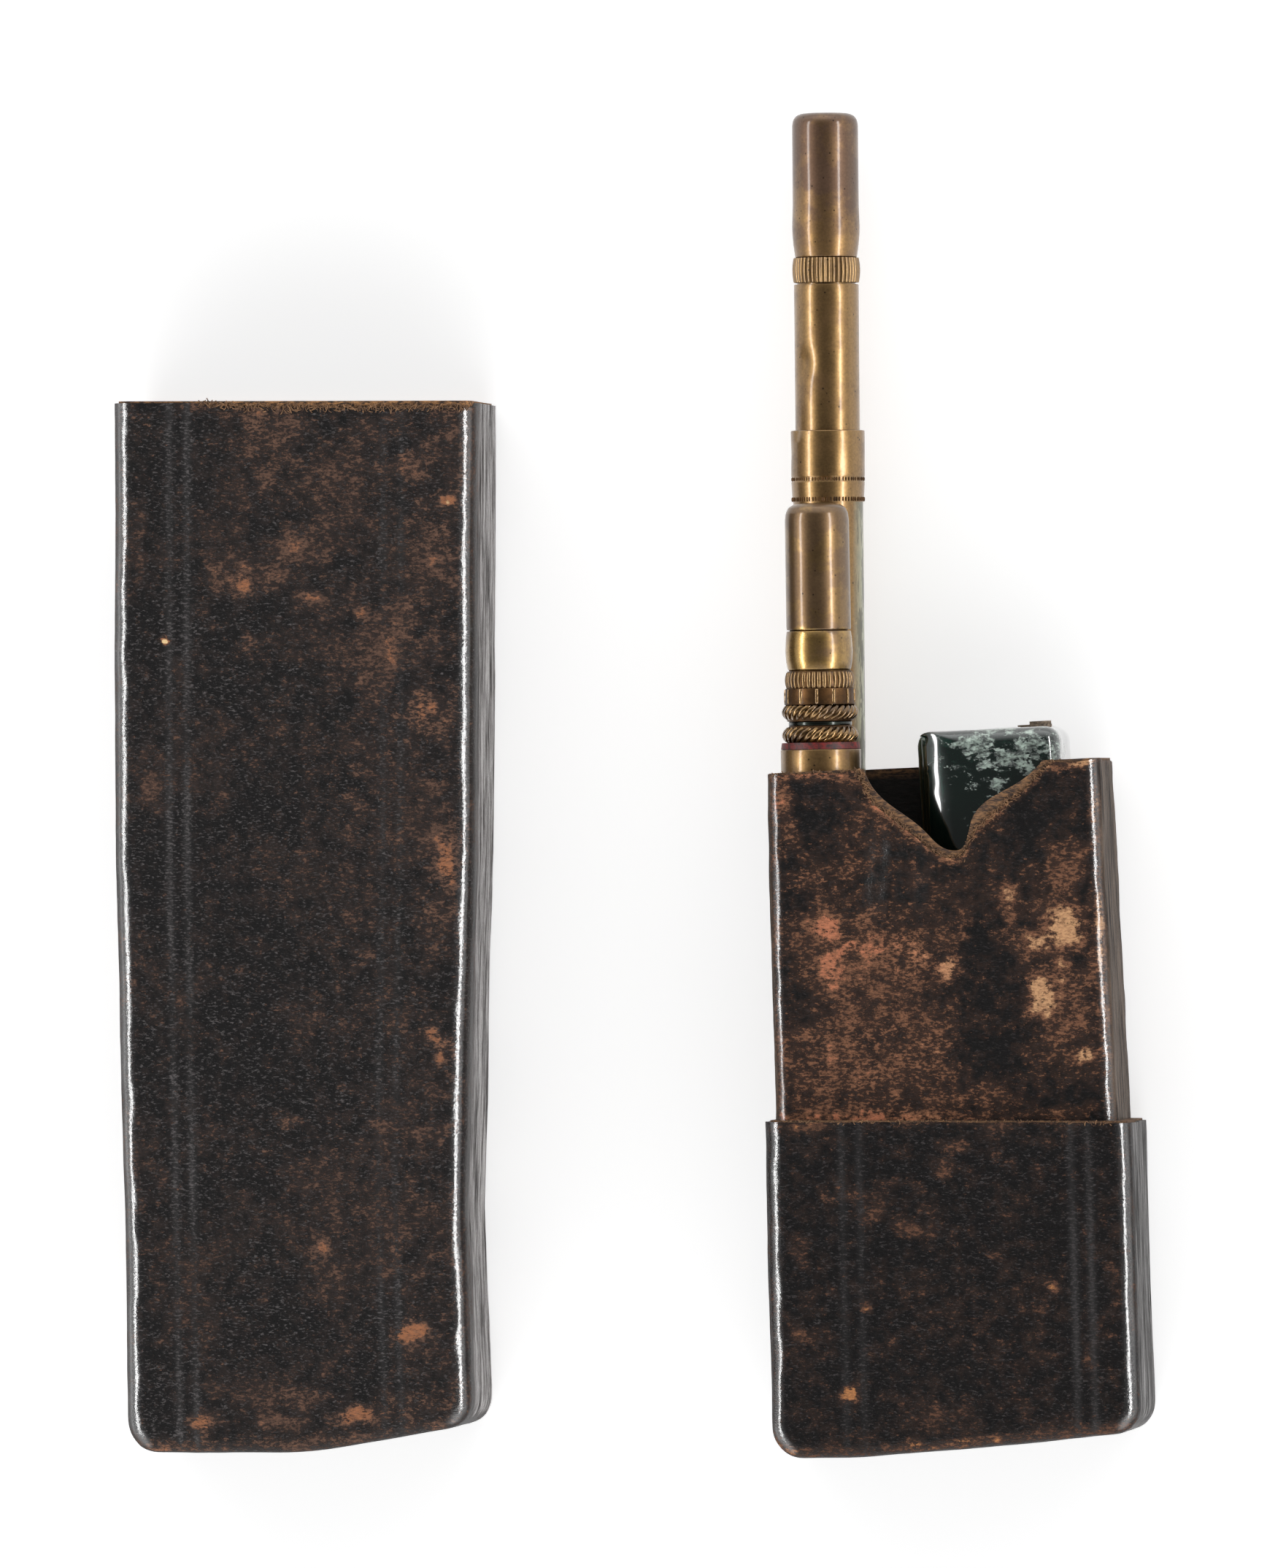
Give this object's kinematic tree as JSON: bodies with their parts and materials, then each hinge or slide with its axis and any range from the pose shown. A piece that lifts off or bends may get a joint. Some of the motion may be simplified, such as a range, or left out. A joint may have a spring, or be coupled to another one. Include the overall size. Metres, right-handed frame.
{
  "type": "portable writing box",
  "caption": "Portable writing box: a long leather cover and a sleeved base that hold a brass reed pen, a brass seal and a square ink bottle.",
  "frame": {"origin": "middle of the base's flat back, 31 mm above the base's closed end", "axes": "+X across the width to the right, away from the cover; +Y along the length towards the open ends; +Z out of the back towards the front"},
  "size_m": [0.1889, 0.2467, 0.0371],
  "materials": {
    "black_leather": "worn black leather, rubbed brown at its edges",
    "sleeve_leather": "thin black leather, scuffed through in places",
    "pasteboard": "raw pasteboard, tan at its rims",
    "brass": "satin brass with brown and green tarnish",
    "red_wax": "dark red wax, scratched",
    "cut_reed": "brown reed, stained at the tip",
    "green_glass": "thick dark green glass",
    "cork": "ink-crusted cork"
  },
  "bodies": {
    "case": {"base_board": "pasteboard", "base_leather": "black_leather", "base_end_leather": "black_leather", "base_floor_board": "pasteboard", "sleeve_board": "pasteboard", "sleeve_leather": "sleeve_leather", "well_partition": "pasteboard", "bottle_shelf": "pasteboard"},
    "cover": {"cover_board": "pasteboard", "cover_leather": "black_leather", "cover_end_leather": "black_leather", "cover_end_board": "pasteboard"},
    "pen_holder": {"pen_barrel": "brass", "pen_foot": "brass", "pen_collar": "brass"},
    "pen_stem": {"pen_tube": "brass", "nib_socket": "brass", "reed_nib": "cut_reed"},
    "pen_top": {"pen_cap": "brass", "pen_cap_bead": "brass"},
    "seal": {"seal_barrel": "brass", "seal_ferrule": "brass", "wax_ring": "red_wax", "lower_rope_ring": "brass", "upper_rope_ring": "brass", "fluted_band": "brass", "seal_reeded_ring": "brass", "seal_neck": "brass", "seal_die": "brass"},
    "seal_top": {"seal_cap": "brass"},
    "bottle": {"ink_bottle": "green_glass"},
    "stopper": {"bottle_cork": "cork"}
  },
  "joints": [
    {"name": "cover_draw_off", "type": "slide", "parent": "case", "child": "cover", "axis": [0, 1, 0], "range_m": [0, 0.19]},
    {"name": "pen_lift", "type": "slide", "parent": "case", "child": "pen_holder", "axis": [-0.0087, 1, 0], "range_m": [0, 0.12]},
    {"name": "pen_tube_draw", "type": "slide", "parent": "pen_holder", "child": "pen_stem", "axis": [-0.0087, 1, 0], "range_m": [-0.0265, 0.037]},
    {"name": "pen_cap_pull", "type": "slide", "parent": "pen_stem", "child": "pen_top", "axis": [-0.0087, 1, 0], "range_m": [0, 0.025]},
    {"name": "seal_lift", "type": "slide", "parent": "case", "child": "seal", "axis": [-0.0175, 0.9998, 0], "range_m": [0, 0.12]},
    {"name": "seal_cap_pull", "type": "slide", "parent": "seal", "child": "seal_top", "axis": [-0.0175, 0.9998, 0], "range_m": [0, 0.016]},
    {"name": "bottle_lift", "type": "slide", "parent": "case", "child": "bottle", "axis": [0, 1, 0], "range_m": [0, 0.066]},
    {"name": "cork_pull", "type": "slide", "parent": "bottle", "child": "stopper", "axis": [-0.0488, 0.9988, 0], "range_m": [0, 0.008]}
  ]
}
